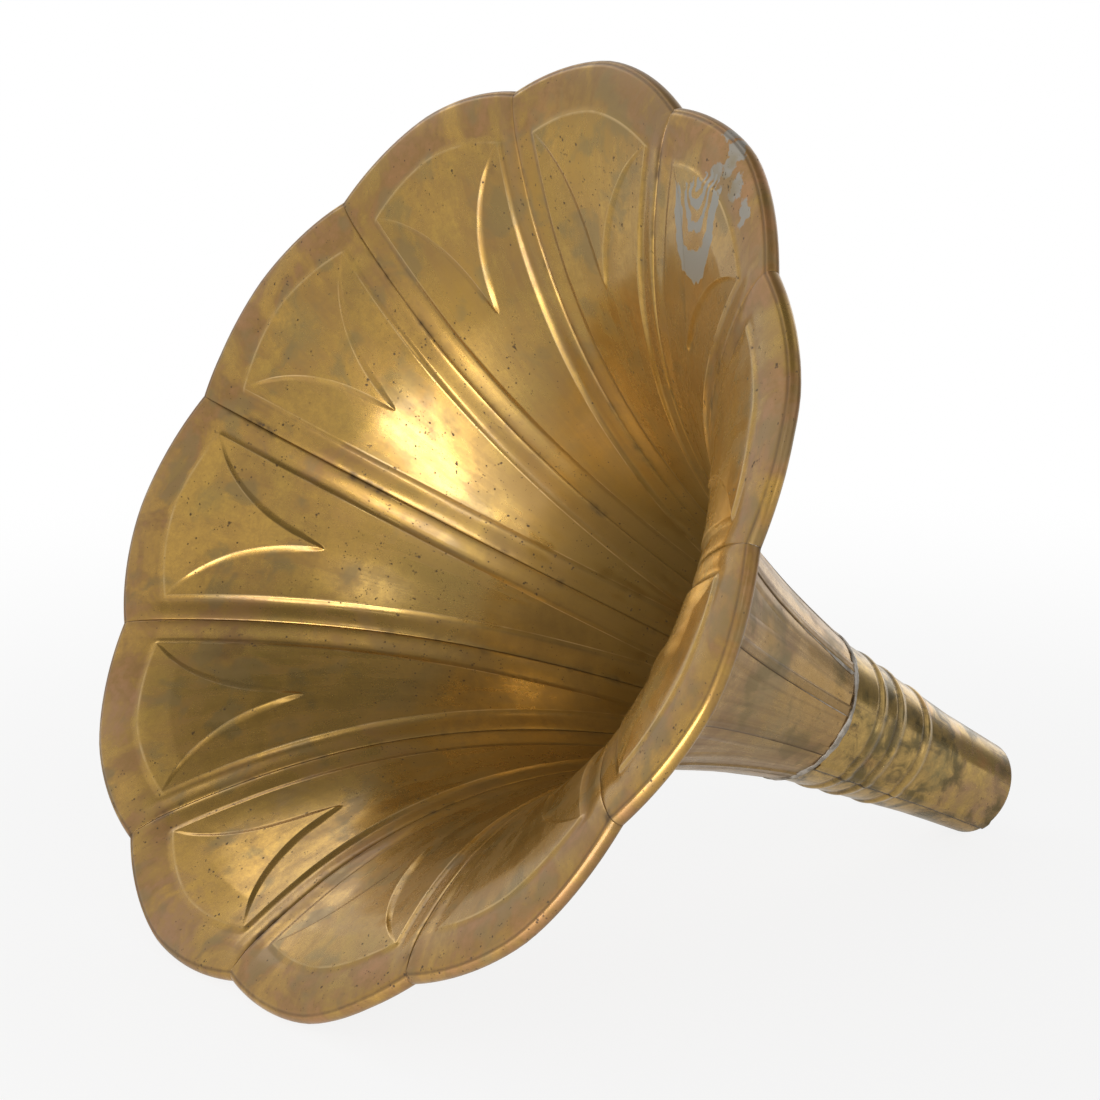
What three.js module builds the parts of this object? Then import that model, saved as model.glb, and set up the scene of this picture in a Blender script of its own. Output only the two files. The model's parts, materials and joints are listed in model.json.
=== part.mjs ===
// Phonograph horn: eleven pressed brass petals, lapped and soft-soldered into a bell, with a beaded neck.
// Millimetres, +Z up. The horn lies on two petals of its rim and on the end of its neck.
import * as THREE from 'three';

// Sheet and seats
const sheetThickness = 0.8;
const seatGap = 0.3;

// Bell, measured on the inner face of the sheet
const petalCount = 11;
const bellDepth = 296;
const flareRadius = 250;
const throatRadius = 45.7;
const flareBendShare = 0.305;

// Rim: a scallop on each petal, flattened into a lip and turned back as a round roll
const notchRadius = 249.5;
const crestRadius = 262;
const scallopBowShare = 1.6;
const lipRadius = 232;
const rollRadius = 4.5;
const rollTurnAngle = THREE.MathUtils.degToRad(170);
const rollSteps = 4;

// Pressed relief of a petal
const seamStripWidth = 15;
const flankWidth = 4;
const panelRecess = 2.4;
const panelEndHalfWidth = 2.5;
const panelFadeWidth = 6;
const rimZoneWidth = 24;
const tulipRecess = 2.2;
const tulipTipRadius = 159;
const tulipBowShare = 1.45;
const tulipFadeShare = 0.3;
const panelRows = 7;
const tulipRowShares = [0.2, 0.4, 0.6, 0.8];
const tulipRowPoints = [1, 1, 3, 3];
const arcPoints = 5;
const rimRowShares = [0.83, 0.42, 0];

// Lapped seams between the petals
const lapWidth = 5;
const joggleWidth = 2.5;
const seamFillet = 1.1;

// Neck, measured on the outer face of the sheet and from the throat joint
const neckLength = 163;
const neckEndRadius = 28.8;
const neckBreakOffset = 112;
const neckBreakRadius = 32.5;
const spigotLength = 10;
const neckColumns = 28;
const neckSeamAngle = THREE.MathUtils.degToRad(-40.9);
const neckLapWidth = 5;
const neckFillet = 1.1;

// Beads rolled into the neck, placed from the throat joint
const beadOffsets = [31, 50, 76.5];
const beadHalfWidth = 5.5;
const beadHeight = 1.9;
const beadCrownShare = 0.4;
const beadCrownHeightShare = 0.92;

// Soft solder round the throat joint
const throatSolderWidth = 4;
const throatSolderHeight = 1.6;
const throatSolderSegments = 44;

const petalAngle = 2 * Math.PI / petalCount;
const lapLift = -(sheetThickness + seatGap);
const hornLength = bellDepth + neckLength;
const neckBreakDepth = bellDepth + neckBreakOffset;
const beadDepths = beadOffsets.map((offset) => bellDepth + offset);

const brass = { color: 0xa9884a, metalness: 0.9, roughness: 0.38 };
const neckBrass = { color: 0x9c8147, metalness: 0.9, roughness: 0.34 };
const solder = { color: 0x9a958c, metalness: 0.75, roughness: 0.5 };

// Flare law: depth falls as a quadratic in the logarithm of the radius
const flareSpan = Math.log(flareRadius / throatRadius);

function flareDepth(radius) {
  const share = Math.log(flareRadius / radius) / flareSpan;
  return bellDepth * share * (1 - flareBendShare + flareBendShare * share);
}

function flareSlope(radius) {
  const share = Math.log(flareRadius / radius) / flareSpan;
  return -bellDepth / (radius * flareSpan) * (1 - flareBendShare + 2 * flareBendShare * share);
}

function flareRadiusAt(depth) {
  const plain = 1 - flareBendShare;
  const root = Math.sqrt(plain * plain + 4 * flareBendShare * depth / bellDepth);
  return flareRadius * Math.pow(throatRadius / flareRadius, (root - plain) / (2 * flareBendShare));
}

// Past lipRadius the bell eases to a flat lip, which is square to the axis at the crests
function bellAt(radius) {
  if (radius <= lipRadius) return { depth: flareDepth(radius), slope: flareSlope(radius) };
  const past = radius - lipRadius;
  const reach = crestRadius - lipRadius;
  const start = flareSlope(lipRadius);
  return {
    depth: flareDepth(lipRadius) + start * (past - past * past / (2 * reach)),
    slope: start * (1 - past / reach),
  };
}

// Directions in the meridian plane: outwards along the sheet, and out of its inner face
function bellFrame(radius) {
  const { depth, slope } = bellAt(radius);
  const size = Math.hypot(1, slope);
  return { depth, along: [1 / size, slope / size], out: [slope / size, -1 / size] };
}

function ringPoint(radius, depth, angle) {
  return new THREE.Vector3(radius * Math.cos(angle), radius * Math.sin(angle), depth);
}

function bellPoint(radius, angle, lift) {
  const { depth, out } = bellFrame(radius);
  return ringPoint(radius + out[0] * lift, depth + out[1] * lift, angle);
}

function rollPoint(radius, angle, turn, lift) {
  const { depth, along, out } = bellFrame(radius);
  const reach = rollRadius + lift;
  const side = reach * Math.sin(turn);
  const front = reach * Math.cos(turn) - rollRadius;
  return ringPoint(
    radius + along[0] * side + out[0] * front,
    depth + along[1] * side + out[1] * front,
    angle,
  );
}

function rimRadius(angle) {
  const share = ((angle / petalAngle) % 1 + 1) % 1;
  return notchRadius + (crestRadius - notchRadius) * (1 - Math.abs(2 * share - 1) ** scallopBowShare);
}

// A row runs across a petal as segments between its fold lines, so that rows of unlike counts can be
// joined fold to fold. A place is [distance from the seam, lift off the inner face].
function spread(from, to, inner) {
  const places = [from];
  for (let i = 1; i <= inner; i += 1) {
    const share = i / (inner + 1);
    places.push([from[0] + (to[0] - from[0]) * share, from[1] + (to[1] - from[1]) * share]);
  }
  places.push(to);
  return places;
}

function petalRow(seamRadius, fold, lapped) {
  const width = seamRadius * petalAngle;
  const mirror = ([distance, lift]) => [width - distance, lift];
  const flip = (places) => places.map(mirror).reverse();
  const strip = [[[seatGap / 2, 0], [lapWidth, 0]], [[lapWidth, 0], fold.crown], [fold.crown, fold.crease]];
  const middle = spread(fold.inner, mirror(fold.inner), fold.points);
  const same = (a, b) => Math.abs(a[0] - b[0]) < seatGap;
  const bank = same(fold.crease, fold.outer) ? [fold.crease] : [fold.crease, fold.outer];
  const band = same(fold.outer, fold.inner) ? [fold.outer] : [fold.outer, fold.inner];
  const tulip = same(fold.inner, mirror(fold.inner)) ? [fold.inner] : middle;
  const joggle = [width - joggleWidth, 0];
  const seam = lapped ? [width, lapLift] : [width - seatGap / 2, 0];
  return {
    seamRadius,
    segments: [
      ...strip, bank, band, tulip, flip(band), flip(bank), flip(strip[2]),
      [mirror(fold.crown), joggle], [joggle, seam],
      lapped ? [seam, [width + lapWidth, lapLift]] : null,
    ],
  };
}

// Rows from the throat to the tip of the tulip: two seam strips with a flat panel between them
function panelRow(share) {
  const tipShare = Math.log(flareRadius / tulipTipRadius) / flareSpan;
  const radius = flareRadius * Math.pow(throatRadius / flareRadius, 1 + (tipShare - 1) * share);
  const half = radius * petalAngle / 2;
  const crease = Math.min(seamStripWidth, half - panelEndHalfWidth);
  const recess = -panelRecess * THREE.MathUtils.clamp((half - seamStripWidth) / panelFadeWidth, 0, 1);
  const centre = [half, recess];
  const fold = {
    crown: [crease - flankWidth, 0], crease: [crease, recess], outer: centre, inner: centre, points: 0,
  };
  return { radiusAt: () => radius, ...petalRow(radius, fold, true) };
}

// Rows through the tulip: share 0 is its tip, share 1 the arc along the rim
function tulipRow(share, points) {
  const radiusAt = (angle) => tulipTipRadius + (rimRadius(angle) - rimZoneWidth - tulipTipRadius) * share;
  const radius = radiusAt(0);
  const half = radius * petalAngle / 2;
  const widest = half - seamStripWidth;
  const inner = half - widest * share ** tulipBowShare;
  const outer = Math.max(inner - flankWidth, (inner + seamStripWidth) / 2);
  const deep = panelRecess + tulipRecess * Math.min(1, (1 - share) / tulipFadeShare);
  const fold = {
    crown: [seamStripWidth - flankWidth, 0],
    crease: [seamStripWidth, -panelRecess],
    outer: [outer, -panelRecess],
    inner: [inner, -deep],
    points,
  };
  return { radiusAt, ...petalRow(radius, fold, true) };
}

// Rows of the raised rim zone: share of the zone's width that is left to the rim
function rimRow(share) {
  const radiusAt = (angle) => rimRadius(angle) - rimZoneWidth * share;
  const corner = [seamStripWidth, 0];
  const fold = {
    crown: [seamStripWidth - flankWidth, 0], crease: corner, outer: corner, inner: corner, points: arcPoints,
  };
  return { radiusAt, ...petalRow(radiusAt(0), fold, share > rimRowShares[1]) };
}

function petalRows() {
  const rows = [];
  for (let i = 0; i <= panelRows; i += 1) rows.push(panelRow(i / panelRows));
  tulipRowShares.forEach((share, i) => rows.push(tulipRow(share, tulipRowPoints[i])));
  rows.push(tulipRow(1, arcPoints));
  rimRowShares.forEach((share) => rows.push(rimRow(share)));
  const rim = rows[rows.length - 1];
  for (let i = 1; i <= rollSteps; i += 1) rows.push({ ...rim, turn: rollTurnAngle * i / rollSteps });
  return rows;
}

function rowPoint(row, [distance, lift], back) {
  const angle = distance / row.seamRadius;
  const radius = row.radiusAt(angle);
  if (row.turn) return rollPoint(radius, angle, row.turn, back);
  return bellPoint(radius, angle, lift + back);
}

// Sheet metal from rows of fold lines: an inner face, an outer face and the cut edges between them
class Sheet {
  constructor(pointAt, thickness) {
    this.pointAt = pointAt;
    this.thickness = thickness;
    this.inner = [];
    this.outer = [];
    this.faces = [];
    this.edges = new Map();
  }

  vertex(row, place) {
    this.inner.push(this.pointAt(row, place, 0));
    this.outer.push(this.pointAt(row, place, -this.thickness));
    return this.inner.length - 1;
  }

  // Gives a row's segments as vertex numbers, one vertex for each fold line
  number(row) {
    let last = null;
    return row.segments.map((places) => {
      if (!places) return null;
      return places.map((place, i) => {
        if (i === 0 && last !== null) return last;
        last = this.vertex(row, place);
        return last;
      });
    });
  }

  face(a, b, c) {
    this.faces.push([a, b, c]);
    [[a, b], [b, c], [c, a]].forEach(([from, to]) => {
      if (!this.edges.delete(`${to},${from}`)) this.edges.set(`${from},${to}`, [from, to]);
    });
  }

  // Joins two segments of unlike counts, always by the side that lags behind
  join(low, high) {
    let i = 0;
    let j = 0;
    while (i < low.length - 1 || j < high.length - 1) {
      const lowShare = (i + 1) / (low.length - 1 || 1);
      const highShare = (j + 1) / (high.length - 1 || 1);
      const stepHigh = i === low.length - 1 || (j < high.length - 1 && highShare <= lowShare);
      if (stepHigh) {
        this.face(low[i], high[j + 1], high[j]);
        j += 1;
      } else {
        this.face(low[i], low[i + 1], high[j]);
        i += 1;
      }
    }
  }

  build(rows) {
    const numbered = rows.map((row) => this.number(row));
    for (let i = 1; i < numbered.length; i += 1) {
      numbered[i - 1].forEach((low, k) => {
        const high = numbered[i][k];
        if (low && high) this.join(low, high);
      });
    }
    return this.geometry();
  }

  geometry() {
    const count = this.inner.length;
    const index = [];
    this.faces.forEach(([a, b, c]) => index.push(a, b, c, a + count, c + count, b + count));
    this.edges.forEach(([from, to]) => {
      index.push(from, to + count, to, from, from + count, to + count);
    });
    return solid([...this.inner, ...this.outer], index);
  }
}

function solid(points, index) {
  const geometry = new THREE.BufferGeometry().setFromPoints(points);
  geometry.setIndex(index);
  geometry.computeVertexNormals();
  return geometry;
}

// A three-sided bead of solder run along a list of section triangles
function filletGeometry(sections) {
  const index = [0, 1, 2];
  for (let i = 1; i < sections.length; i += 1) {
    for (let k = 0; k < 3; k += 1) {
      const a = 3 * (i - 1) + k;
      const b = 3 * (i - 1) + (k + 1) % 3;
      index.push(a, a + 3, b, b, a + 3, b + 3);
    }
  }
  const end = 3 * (sections.length - 1);
  index.push(end, end + 2, end + 1);
  return solid(sections.flat(), index);
}

function mesh(name, geometry, finish) {
  const body = new THREE.Mesh(geometry, new THREE.MeshStandardMaterial(finish));
  body.name = name;
  return body;
}

function petalGeometry() {
  return new Sheet(rowPoint, sheetThickness).build(petalRows());
}

// Solder along the free edge of each lap, in the corner that it makes with the next petal's back
function seamSolderGeometry() {
  const low = -(sheetThickness + seatGap);
  const near = lapWidth + seatGap;
  const lapped = petalRows().filter((row) => row.segments[row.segments.length - 1]);
  return filletGeometry(lapped.map((row) => [
    rowPoint(row, [near, low], 0),
    rowPoint(row, [near, low - seamFillet], 0),
    rowPoint(row, [near + seamFillet, low], 0),
  ]));
}

// Neck outline on the outer face, with the beads added
function neckRadiusAt(depth) {
  if (depth <= bellDepth) return flareRadiusAt(depth) - seatGap;
  const start = throatRadius - seatGap;
  if (depth <= neckBreakDepth) {
    const share = (depth - bellDepth) / (neckBreakDepth - bellDepth);
    return start + (neckBreakRadius - start) * share;
  }
  const share = (depth - neckBreakDepth) / (hornLength - neckBreakDepth);
  return neckBreakRadius + (neckEndRadius - neckBreakRadius) * share;
}

function neckRow(depth, lift, lapped) {
  const radius = neckRadiusAt(depth) + lift;
  const round = 2 * Math.PI * radius;
  const seam = lapped ? [round, sheetThickness + seatGap] : [round - seatGap / 2, 0];
  const joggle = [round - joggleWidth, 0];
  const lap = [neckLapWidth, 0];
  return {
    depth,
    radius,
    segments: [
      [[seatGap / 2, 0], lap], spread(lap, joggle, neckColumns), [joggle, seam],
      lapped ? [seam, [round + neckLapWidth, sheetThickness + seatGap]] : null,
    ],
  };
}

function neckRows() {
  const solderEnd = bellDepth + throatSolderWidth + seatGap;
  const rows = [bellDepth - spigotLength, bellDepth, solderEnd].map((depth) => neckRow(depth, 0, false));
  rows.push(neckRow(solderEnd + joggleWidth, 0, true));
  beadDepths.forEach((depth) => {
    const crown = beadHalfWidth * beadCrownShare;
    rows.push(neckRow(depth - beadHalfWidth, 0, true));
    rows.push(neckRow(depth - crown, beadHeight * beadCrownHeightShare, true));
    rows.push(neckRow(depth + crown, beadHeight * beadCrownHeightShare, true));
    rows.push(neckRow(depth + beadHalfWidth, 0, true));
  });
  rows.push(neckRow(neckBreakDepth, 0, true), neckRow(hornLength, 0, true));
  return rows.reverse();
}

// The neck's inner face is a sheet thickness inside its outline
function neckPoint(row, [distance, lift], back) {
  return ringPoint(row.radius - sheetThickness + lift - back, row.depth, neckSeamAngle + distance / row.radius);
}

function neckGeometry() {
  return new Sheet(neckPoint, sheetThickness).build(neckRows());
}

function neckSolderGeometry() {
  const base = sheetThickness + seatGap;
  const near = neckLapWidth + seatGap;
  const lapped = neckRows().filter((row) => row.segments[row.segments.length - 1]);
  return filletGeometry(lapped.map((row) => [
    neckPoint(row, [near, base], 0),
    neckPoint(row, [near, base + neckFillet], 0),
    neckPoint(row, [near + neckFillet, base], 0),
  ]));
}

// Ring of solder in the corner between the throat's cut edge and the neck
function throatSolderGeometry() {
  const start = bellDepth + seatGap;
  const end = bellDepth + throatSolderWidth;
  const inner = neckRadiusAt(start) + seatGap;
  const profile = [
    new THREE.Vector2(inner, start),
    new THREE.Vector2(inner + throatSolderHeight, start),
    new THREE.Vector2(neckRadiusAt(end) + seatGap + seatGap, end),
    new THREE.Vector2(neckRadiusAt(end) + seatGap, end),
    new THREE.Vector2(inner, start),
  ];
  return new THREE.LatheGeometry(profile, throatSolderSegments).rotateX(Math.PI / 2);
}

// The horn stands on its rim and its neck's end: the steepest line from the end to the rim gives its tilt
function restingTilt(bodies, end) {
  let tilt = 0;
  bodies.forEach((body) => {
    const places = body.geometry.attributes.position;
    for (let i = 0; i < places.count; i += 1) {
      const drop = new THREE.Vector3().fromBufferAttribute(places, i).applyEuler(body.rotation);
      if (drop.z < end.z) tilt = Math.max(tilt, Math.atan2(drop.x - end.x, end.z - drop.z));
    }
  });
  return tilt;
}

// Places 01 to 11 run clockwise, seen at the mouth, from the seam that lies lowest
const horn = new THREE.Group();
const petals = [];
const seamSolders = [];
for (let i = 0; i < petalCount; i += 1) {
  const number = String(i + 1).padStart(2, '0');
  const petal = mesh(`petal_${number}`, petalGeometry(), brass);
  petal.rotation.z = i * petalAngle;
  petals.push(petal);
  const fillet = mesh(`seam_solder_${number}`, seamSolderGeometry(), solder);
  fillet.rotation.z = i * petalAngle;
  seamSolders.push(fillet);
}
const neckTube = mesh('neck_tube', neckGeometry(), neckBrass);
const throatSolder = mesh('throat_solder', throatSolderGeometry(), solder);
const neckSolder = mesh('neck_seam_solder', neckSolderGeometry(), solder);
horn.add(...petals, ...seamSolders, neckTube, throatSolder, neckSolder);
horn.rotation.z = Math.PI / 2;

const tilt = restingTilt(petals, new THREE.Vector3(neckEndRadius, 0, hornLength));
const lying = new THREE.Group();
lying.add(horn);
lying.rotation.x = -(Math.PI / 2 + tilt);
const part = new THREE.Group();
part.add(lying);
part.updateMatrixWorld(true);
const bounds = new THREE.Box3().setFromObject(part, true);
lying.position.set(
  -(bounds.min.x + bounds.max.x) / 2,
  -(bounds.min.y + bounds.max.y) / 2,
  -bounds.min.z,
);

export default part;
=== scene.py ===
"""Brass phonograph horn of eleven pressed petals, dressed in aged brass and soft solder."""
import json
import logging
import math
from dataclasses import dataclass
from enum import Enum
from typing import Any, Callable

import bpy
from bpy.types import ID, Material, Mesh, Node, NodeSocket, NodeTree, Object
from mathutils import Matrix, Vector


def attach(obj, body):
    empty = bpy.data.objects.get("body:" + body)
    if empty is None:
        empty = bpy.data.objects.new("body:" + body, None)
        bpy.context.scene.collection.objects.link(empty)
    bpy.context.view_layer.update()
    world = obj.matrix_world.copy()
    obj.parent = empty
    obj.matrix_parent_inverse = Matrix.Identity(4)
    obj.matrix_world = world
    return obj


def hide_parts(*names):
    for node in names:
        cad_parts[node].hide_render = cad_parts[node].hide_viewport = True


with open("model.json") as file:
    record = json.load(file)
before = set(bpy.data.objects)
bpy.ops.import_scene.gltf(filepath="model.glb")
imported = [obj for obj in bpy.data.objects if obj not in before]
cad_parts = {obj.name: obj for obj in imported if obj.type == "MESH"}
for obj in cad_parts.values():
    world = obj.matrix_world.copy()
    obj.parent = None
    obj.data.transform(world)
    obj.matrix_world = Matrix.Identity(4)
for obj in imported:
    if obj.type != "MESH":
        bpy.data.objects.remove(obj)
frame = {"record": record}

MM = 0.001
BODY = "root"
Colour = tuple[float, float, float]

log = logging.getLogger("horn")


class Slot(Enum):
    """The record's material slots."""

    BELL = "brass_bell"
    NECK = "brass_neck"
    SOLDER = "solder"


def maths(operation: str, *rest: float, swapped: bool = False) -> Callable[..., "Value"]:
    """Makes a method of Value that adds one Math node.

    Args:
        operation: The node's operation.
        rest: Plain numbers for the node's last inputs.
        swapped: Whether the method's argument comes before the value.

    Returns:
        The method.
    """
    def method(value: "Value", *others: Any) -> "Value":
        """Adds the node."""
        operands = (*others, value) if swapped else (value, *others)
        return value.compute(operation, *operands, *rest)

    return method


@dataclass(eq=False)
class Value:
    """A number at a socket. Arithmetic on it adds Math nodes to its tree, and comparing it gives 0 or 1.

    least and most are the smaller and the larger of two numbers, size is the absolute value, ln the natural
    logarithm, root the square root and fraction what is left above the whole number.
    """

    nodes: "Nodes"
    socket: NodeSocket

    __add__ = __radd__ = maths("ADD")
    __sub__, __rsub__ = maths("SUBTRACT"), maths("SUBTRACT", swapped=True)
    __mul__ = __rmul__ = maths("MULTIPLY")
    __truediv__, __rtruediv__ = maths("DIVIDE"), maths("DIVIDE", swapped=True)
    __pow__, __rpow__ = maths("POWER"), maths("POWER", swapped=True)
    __gt__, __lt__ = maths("GREATER_THAN"), maths("LESS_THAN")
    least, most = maths("MINIMUM"), maths("MAXIMUM")
    sin, cos, size, root = maths("SINE"), maths("COSINE"), maths("ABSOLUTE"), maths("SQRT")
    ln, fraction = maths("LOGARITHM", math.e), maths("FLOORED_MODULO", 1)

    def compute(self, operation: str, *operands: Any, clamp: bool = False) -> "Value":
        """Adds one Math node.

        Args:
            operation: The node's operation.
            operands: Its inputs, in order.
            clamp: Whether the result is held between 0 and 1.

        Returns:
            The node's result.
        """
        settings = {"operation": operation, "use_clamp": clamp}
        node = self.nodes.add("ShaderNodeMath", settings, dict(enumerate(operands)))
        return Value(self.nodes, node.outputs[0])

    def clamp(self) -> "Value":
        """The number held between 0 and 1."""
        return self.compute("ADD", self, 0, clamp=True)

    def ramp(self, start: Any, end: Any) -> "Value":
        """Runs straight from 0 at a start to 1 at an end, and is held there."""
        return ((self - start) / (end - start)).clamp()

    def stages(self, counts: tuple[int, ...]) -> list["Value"]:
        """Splits a count of faces into stages, each of which runs from 0 to 1."""
        ends = [sum(counts[:i]) for i in range(len(counts) + 1)]
        return [self.ramp(start, end) for start, end in zip(ends, ends[1:])]

    def smooth(self) -> "Value":
        """Eases a share in and out."""
        return self * self * (3 - self * 2)

    def bank(self) -> "Value":
        """Eases a share in alone, as a quarter of a wave."""
        return 1 - (self * (math.pi / 2)).cos()

    def tent(self, centre: Any, width: Any) -> "Value":
        """Falls straight from 1 at a centre to 0 at a width away."""
        return (1 - ((self - centre) / width).size()).clamp()

    def bell(self, centre: Any, width: Any) -> "Value":
        """A soft bump round a centre, 1 at its top and 0 at a width away."""
        return self.tent(centre, width).smooth()


@dataclass(frozen=True)
class Pattern:
    """Smooth noise: waves per metre, octaves, the share of each octave in the next, seed and distortion."""

    scale: float
    detail: float = 2
    rough: float = 0.5
    seed: float = 0
    warp: float = 0


@dataclass(eq=False)
class Nodes:
    """Adds nodes to one tree and joins them."""

    tree: NodeTree

    def join(self, socket: NodeSocket, value: Any) -> None:
        """Links a value to an input, or sets the input where the value is plain.

        Args:
            socket: The input.
            value: A number at a socket, a socket or a plain value.
        """
        source = value.socket if isinstance(value, Value) else value
        if isinstance(source, NodeSocket):
            self.tree.links.new(source, socket)
        else:
            socket.default_value = source

    def add(self, kind: str, settings: dict | None = None, inputs: dict | None = None) -> Node:
        """Adds one node.

        Args:
            kind: The node's type.
            settings: Properties to set first.
            inputs: Values or links by the inputs' names or numbers.

        Returns:
            The new node.
        """
        node = self.tree.nodes.new(kind)
        for name, setting in (settings or {}).items():
            setattr(node, name, setting)
        for key, value in (inputs or {}).items():
            self.join(node.inputs[key], value)
        return node

    def vector(self, x: Any, y: Any, z: Any) -> NodeSocket:
        """Joins three numbers into a vector."""
        return self.add("ShaderNodeCombineXYZ", inputs={0: x, 1: y, 2: z}).outputs[0]

    def split(self, vector: NodeSocket) -> tuple[Value, Value, Value]:
        """Splits a vector into its three numbers."""
        node = self.add("ShaderNodeSeparateXYZ", inputs={0: vector})
        return tuple(Value(self, output) for output in node.outputs)

    def noise(self, place: Any, pattern: Pattern) -> Value:
        """Reads a noise pattern at a place, between 0 and 1."""
        node = self.add(
            "ShaderNodeTexNoise",
            {"noise_dimensions": "3D"},
            {"Vector": self.shifted(place, pattern.seed), "Scale": pattern.scale, "Detail": pattern.detail,
             "Roughness": pattern.rough, "Distortion": pattern.warp},
        )
        return Value(self, node.outputs[0])

    def shifted(self, place: Any, seed: float) -> NodeSocket:
        """Moves a pattern's place by its seed, so that two patterns differ."""
        inputs = {0: place, 1: (seed, seed * 0.7, -seed)}
        return self.add("ShaderNodeVectorMath", {"operation": "ADD"}, inputs).outputs[0]


class FormTree(Nodes):
    """A Geometry Nodes tree that bends one grid into a surface."""

    def __init__(self, name: str, columns: int, rows: int) -> None:
        """Starts the tree with its grid.

        Args:
            name: The tree's name.
            columns: Faces across the grid.
            rows: Faces along the grid.
        """
        super().__init__(bpy.data.node_groups.new(name, "GeometryNodeTree"))
        self.tree.interface.new_socket("Geometry", in_out="OUTPUT", socket_type="NodeSocketGeometry")
        self.entry = self.tree.nodes.new("NodeGroupInput")
        self.inputs: dict[str, str] = {}
        grid = self.add("GeometryNodeMeshGrid", inputs={0: 1.0, 1: 1.0, 2: columns + 1, 3: rows + 1})
        self.geometry = grid.outputs[0]
        x, y, _ = self.split(self.add("GeometryNodeInputPosition").outputs[0])
        self.across = x + 0.5
        self.along = y + 0.5

    def number(self, name: str, default: float) -> Value:
        """Adds a number input to the tree.

        Args:
            name: The input's name.
            default: Its value where a piece gives none.

        Returns:
            The number.
        """
        item = self.tree.interface.new_socket(name, in_out="INPUT", socket_type="NodeSocketFloat")
        item.default_value = default
        self.inputs[name] = item.identifier
        return Value(self, self.entry.outputs[name])

    def drop(self, where: Value) -> None:
        """Deletes the faces where a field is 1."""
        node = self.add("GeometryNodeDeleteGeometry", {"domain": "FACE"},
                        {"Geometry": self.geometry, "Selection": where > 0.5})
        self.geometry = node.outputs[0]

    def keep(self, name: str, value: Value) -> None:
        """Stores a number on the points, for the finish to read."""
        node = self.add("GeometryNodeStoreNamedAttribute", {"data_type": "FLOAT", "domain": "POINT"},
                        {"Geometry": self.geometry, "Name": name, "Value": value})
        self.geometry = node.outputs[0]

    def round(self, radius: Value, angle: Value, depth: Value) -> NodeSocket:
        """Joins a place from its radius, its angle and its depth."""
        return self.vector(radius * angle.cos(), radius * angle.sin(), depth)

    def run(self, uneven: Value, width: Any, height: float) -> tuple[Value, Value]:
        """Section of an uneven run that tapers at its ends.

        Args:
            uneven: How its size varies.
            width: Half its width.
            height: Half its height.

        Returns:
            Places across the run and above its middle.
        """
        section = self.across * math.tau
        size = uneven * self.along.ramp(0, 0.01) * (1 - self.along.ramp(0.99, 1))
        return section.cos() * size * width, section.sin() * size * height

    def place(self, position: NodeSocket, material: Material, merge: float = 0.005 * MM
              ) -> None:
        """Moves the grid's points to the surface and ends the tree.

        Args:
            position: The place of each point.
            material: The surface's material.
            merge: Distance below which points become one.
        """
        for kind, inputs in (("SetPosition", {"Position": position}), ("MergeByDistance", {"Distance": merge}),
                             ("RealizeInstances", {}), ("SetMaterial", {"Material": material})):
            node = self.add(f"GeometryNode{kind}", inputs={"Geometry": self.geometry, **inputs})
            self.geometry = node.outputs[0]
        self.add("NodeGroupOutput", inputs={0: self.geometry})


def add_object(name: str, data: ID) -> Object:
    """Makes an object and links it to the scene.

    Args:
        name: The object's name.
        data: Its mesh, camera or lamp.

    Returns:
        The object.
    """
    thing = bpy.data.objects.new(name, data)
    bpy.context.scene.collection.objects.link(thing)
    return thing


def settle(thing: Object) -> Mesh:
    """Turns an object's evaluated modifiers into a plain mesh.

    Args:
        thing: The object, which is removed.

    Returns:
        The finished mesh.
    """
    bpy.context.view_layer.update()
    graph = bpy.context.evaluated_depsgraph_get()
    mesh = bpy.data.meshes.new_from_object(thing.evaluated_get(graph), preserve_all_data_layers=True,
                                           depsgraph=graph)
    thing.modifiers.clear()
    bpy.data.objects.remove(thing)
    return mesh


def grow(name: str, form: FormTree, **numbers: float) -> Mesh:
    """Evaluates a form tree with its inputs.

    Args:
        name: The piece's name.
        form: The tree.
        numbers: The named inputs that differ from their defaults.

    Returns:
        The surface as a plain mesh.
    """
    thing = add_object(name, bpy.data.meshes.new(name))
    modifier = thing.modifiers.new("form", "NODES")
    modifier.node_group = form.tree
    for key, number in numbers.items():
        modifier[form.inputs[key]] = number
    return settle(thing)


def thicken(name: str, mesh: Mesh, thickness: float, back: Material) -> Mesh:
    """Gives a surface the sheet's thickness behind its face.

    Args:
        name: The piece's name.
        mesh: The surface, whose faces point out of the front.
        thickness: The sheet's thickness.
        back: The material of the other side.

    Returns:
        The closed sheet.
    """
    mesh.materials.append(back)
    thing = add_object(name, mesh)
    solid = thing.modifiers.new("sheet", "SOLIDIFY")
    solid.thickness = thickness
    solid.offset = -1
    solid.use_even_offset = True
    solid.material_offset = 1
    solid.use_rim = True
    return settle(thing)


def hand_in(name: str, mesh: Mesh, placing: Matrix) -> None:
    """Puts a finished mesh in the frame in place of its CAD node.

    Args:
        name: The node that it stands for.
        mesh: The mesh, in the horn's own coordinates.
        placing: From the horn's coordinates to the frame.
    """
    mesh.transform(placing)
    mesh.shade_smooth()
    piece = add_object(f"{name}_dressed", mesh)
    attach(piece, BODY)
    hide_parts(name)
    log.info("%s: %d faces", piece.name, len(mesh.polygons))


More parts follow.
